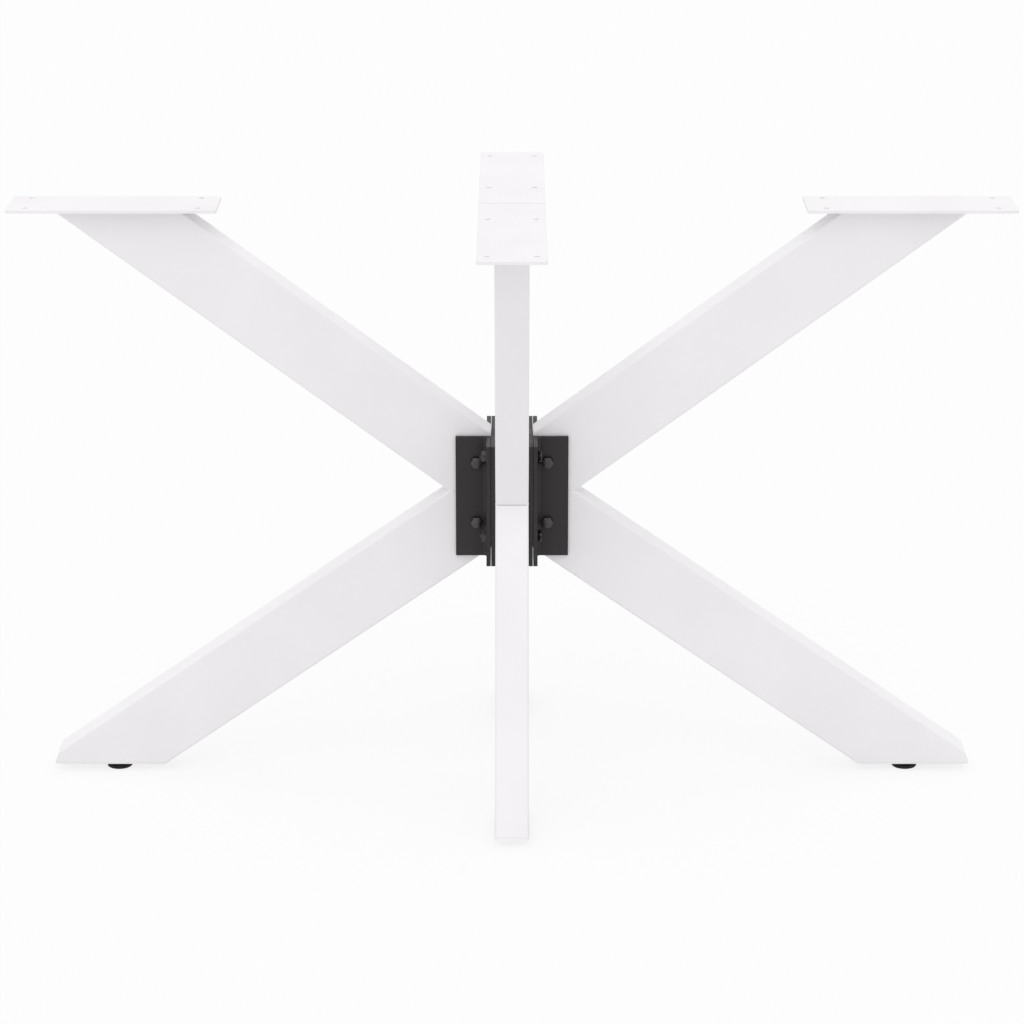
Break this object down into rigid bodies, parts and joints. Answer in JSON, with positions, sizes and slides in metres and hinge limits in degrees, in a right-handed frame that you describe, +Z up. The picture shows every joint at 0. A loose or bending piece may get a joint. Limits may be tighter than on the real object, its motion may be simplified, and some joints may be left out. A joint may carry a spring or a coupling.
{
  "type": "x shaped table leg",
  "caption": "Spider table frame of V shaped rectangular tube legs bolted to a central hub, with flat top plates for a table top and levelling feet.",
  "frame": {"origin": "the floor point under the middle of the hub, with the levelling feet screwed fully in", "axes": "+Z up, +X along the two long legs towards the right one, +Y along the two short legs towards the back one"},
  "size_m": [1.2, 0.6, 0.72],
  "materials": {
    "white_powder_coat": "smooth satin white powder coat",
    "black_powder_coat": "fine textured satin black powder coat",
    "black_zinc": "black zinc plate, slightly shiny",
    "zinc_plate": "bright zinc plate",
    "black_plastic": "moulded matt black plastic"
  },
  "bodies": {
    "frame": {"left_upper_arm": "white_powder_coat", "left_lower_arm": "white_powder_coat", "left_top_plate": "white_powder_coat", "left_foot_plate": "white_powder_coat", "left_foot_nut": "zinc_plate", "right_upper_arm": "white_powder_coat", "right_lower_arm": "white_powder_coat", "right_top_plate": "white_powder_coat", "right_foot_plate": "white_powder_coat", "right_foot_nut": "zinc_plate", "front_upper_arm": "white_powder_coat", "front_lower_arm": "white_powder_coat", "front_top_plate": "white_powder_coat", "front_foot_plate": "white_powder_coat", "front_foot_nut": "zinc_plate", "back_upper_arm": "white_powder_coat", "back_lower_arm": "white_powder_coat", "back_top_plate": "white_powder_coat", "back_foot_plate": "white_powder_coat", "back_foot_nut": "zinc_plate", "hub_plate_left": "black_powder_coat", "hub_plate_right": "black_powder_coat", "hub_angle_front_left": "black_powder_coat", "hub_angle_front_right": "black_powder_coat", "hub_angle_back_left": "black_powder_coat", "hub_angle_back_right": "black_powder_coat", "hub_cross_bolts": "black_zinc", "hub_cross_nuts": "black_zinc", "hub_side_bolts": "black_zinc", "hub_side_nuts": "black_zinc", "hub_spacers": "black_zinc"},
    "left_glide": {"left_foot_pad": "black_plastic"},
    "left_screw": {"left_foot_stud": "zinc_plate"},
    "right_glide": {"right_foot_pad": "black_plastic"},
    "right_screw": {"right_foot_stud": "zinc_plate"},
    "front_glide": {"front_foot_pad": "black_plastic"},
    "front_screw": {"front_foot_stud": "zinc_plate"},
    "back_glide": {"back_foot_pad": "black_plastic"},
    "back_screw": {"back_foot_stud": "zinc_plate"}
  },
  "joints": [
    {"name": "left_foot_travel", "type": "slide", "parent": "frame", "child": "left_glide", "axis": [0, 0, -1], "range_m": [0, 0.01]},
    {"name": "left_foot_turn", "type": "hinge", "parent": "left_glide", "child": "left_screw", "pos_m": [-0.4925, 0, 0.0257], "axis": [0, 0, -1], "range_deg": [0, 2880]},
    {"name": "right_foot_travel", "type": "slide", "parent": "frame", "child": "right_glide", "axis": [0, 0, -1], "range_m": [0, 0.01]},
    {"name": "right_foot_turn", "type": "hinge", "parent": "right_glide", "child": "right_screw", "pos_m": [0.4925, 0, 0.0257], "axis": [0, 0, -1], "range_deg": [0, 2880]},
    {"name": "front_foot_travel", "type": "slide", "parent": "frame", "child": "front_glide", "axis": [0, 0, -1], "range_m": [0, 0.01]},
    {"name": "front_foot_turn", "type": "hinge", "parent": "front_glide", "child": "front_screw", "pos_m": [0, -0.213, 0.0257], "axis": [0, 0, -1], "range_deg": [0, 2880]},
    {"name": "back_foot_travel", "type": "slide", "parent": "frame", "child": "back_glide", "axis": [0, 0, -1], "range_m": [0, 0.01]},
    {"name": "back_foot_turn", "type": "hinge", "parent": "back_glide", "child": "back_screw", "pos_m": [0, 0.213, 0.0257], "axis": [0, 0, -1], "range_deg": [0, 2880]}
  ],
  "couplings": [
    {"joint": "left_foot_travel", "follows": "left_foot_turn", "m_per_rad": 0.00019894},
    {"joint": "right_foot_travel", "follows": "right_foot_turn", "m_per_rad": 0.00019894},
    {"joint": "front_foot_travel", "follows": "front_foot_turn", "m_per_rad": 0.00019894},
    {"joint": "back_foot_travel", "follows": "back_foot_turn", "m_per_rad": 0.00019894}
  ]
}
